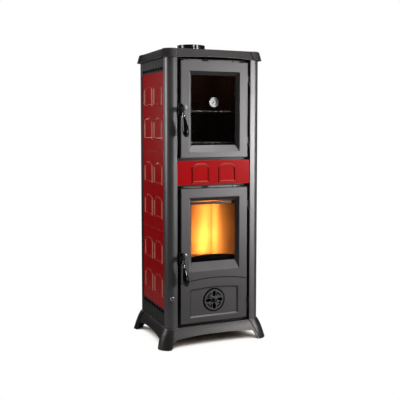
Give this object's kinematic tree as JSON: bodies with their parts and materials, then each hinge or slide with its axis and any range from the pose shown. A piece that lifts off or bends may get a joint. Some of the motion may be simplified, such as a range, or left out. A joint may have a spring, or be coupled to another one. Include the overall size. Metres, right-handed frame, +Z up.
{
  "type": "wood cookstove",
  "caption": "Upright wood cookstove: glazed oven door above a glazed fire door, red tiled sides, cast flared base and top plate with a flue collar.",
  "frame": {"origin": "on the floor below the middle of the bounding box", "axes": "+Z up, front with the doors toward -Y, +X to the viewer's right"},
  "size_m": [0.509, 0.4276, 1.2902],
  "materials": {
    "cast_charcoal": "satin charcoal stove paint on cast iron",
    "cast_black": "satin near-black stove paint on cast iron",
    "sheet_charcoal": "satin charcoal paint on folded sheet",
    "black_steel": "semi-gloss black",
    "red_glaze": "deep red gloss glaze",
    "fire_clay": "matt pressed fire board",
    "raw_iron": "raw cast",
    "oven_enamel": "dark vitreous enamel",
    "bright_steel": "plain bright",
    "chrome": "polished",
    "black_gloss": "polished black heat-proof resin",
    "clear_glass": "clear ceramic glass",
    "seal_rope": "braided glass-fibre rope",
    "dial_white": "white enamel face",
    "needle_black": "black paint"
  },
  "bodies": {
    "stove_body": {"air_rails": "bright_steel", "air_strip": "bright_steel", "ash_drawer": "black_steel", "ash_drawer_pull": "black_steel", "ash_runners": "black_steel", "back_panel": "sheet_charcoal", "back_panel_screws": "bright_steel", "baffle": "fire_clay", "base": "cast_black", "collar_screws": "bright_steel", "flue_collar": "black_steel", "front_frame": "black_steel", "front_tile": "red_glaze", "grate": "raw_iron", "hearth": "raw_iron", "hinge_brackets": "black_steel", "inner_casing": "black_steel", "left_brick": "fire_clay", "left_column": "cast_charcoal", "left_side_panel": "sheet_charcoal", "left_tile_lower": "red_glaze", "left_tile_middle": "red_glaze", "left_tile_tray": "black_steel", "left_tile_upper": "red_glaze", "log_guard": "black_steel", "oven_box": "oven_enamel", "oven_racks": "bright_steel", "rear_brick": "fire_clay", "right_brick": "fire_clay", "right_column": "cast_charcoal", "right_side_panel": "sheet_charcoal", "right_tile_lower": "red_glaze", "right_tile_middle": "red_glaze", "right_tile_tray": "black_steel", "right_tile_upper": "red_glaze", "top_plate": "cast_black"},
    "oven_door": {"oven_door": "cast_charcoal", "oven_glass": "clear_glass", "oven_glass_clips": "bright_steel", "oven_seal": "seal_rope", "thermometer_case": "chrome", "thermometer_dial": "dial_white", "thermometer_lens": "clear_glass", "oven_handle_bracket": "black_steel"},
    "oven_handle": {"oven_handle_lever": "black_steel", "oven_handle_grip": "black_gloss", "oven_latch_tongue": "bright_steel"},
    "thermometer_needle": {"thermometer_pointer": "needle_black"},
    "fire_door": {"fire_door": "cast_charcoal", "fire_glass": "clear_glass", "fire_glass_clips": "bright_steel", "fire_seal": "seal_rope", "fire_handle_bracket": "black_steel"},
    "fire_handle": {"fire_handle_lever": "black_steel", "fire_handle_grip": "black_gloss", "fire_latch_tongue": "bright_steel"},
    "air_rosette": {"rosette": "cast_charcoal", "rosette_knob": "black_steel"},
    "air_pull": {"air_rod": "black_steel", "air_knob": "chrome"}
  },
  "joints": [
    {"name": "oven_door_hinge", "type": "hinge", "parent": "stove_body", "child": "oven_door", "pos_m": [0.16087, -0.14925, 0.9972], "axis": [0, 0, 1], "range_deg": [0, 110]},
    {"name": "oven_handle_turn", "type": "hinge", "parent": "oven_door", "child": "oven_handle", "pos_m": [-0.157, -0.15025, 0.9962], "axis": [0, -1, 0], "range_deg": [0, 80]},
    {"name": "thermometer_needle_turn", "type": "hinge", "parent": "oven_door", "child": "thermometer_needle", "pos_m": [0, -0.13925, 1.0292], "axis": [0, 1, 0], "range_deg": [0, 270]},
    {"name": "fire_door_hinge", "type": "hinge", "parent": "stove_body", "child": "fire_door", "pos_m": [0.16087, -0.14925, 0.3842], "axis": [0, 0, 1], "range_deg": [0, 110]},
    {"name": "fire_handle_turn", "type": "hinge", "parent": "fire_door", "child": "fire_handle", "pos_m": [-0.157, -0.15025, 0.3817], "axis": [0, -1, 0], "range_deg": [0, 80]},
    {"name": "air_rosette_turn", "type": "hinge", "parent": "fire_door", "child": "air_rosette", "pos_m": [0, -0.14625, 0.1885], "axis": [0, 1, 0], "range_deg": [0, 45]},
    {"name": "air_pull_slide", "type": "slide", "parent": "stove_body", "child": "air_pull", "axis": [0, -1, 0], "range_m": [0, 0.025]}
  ]
}
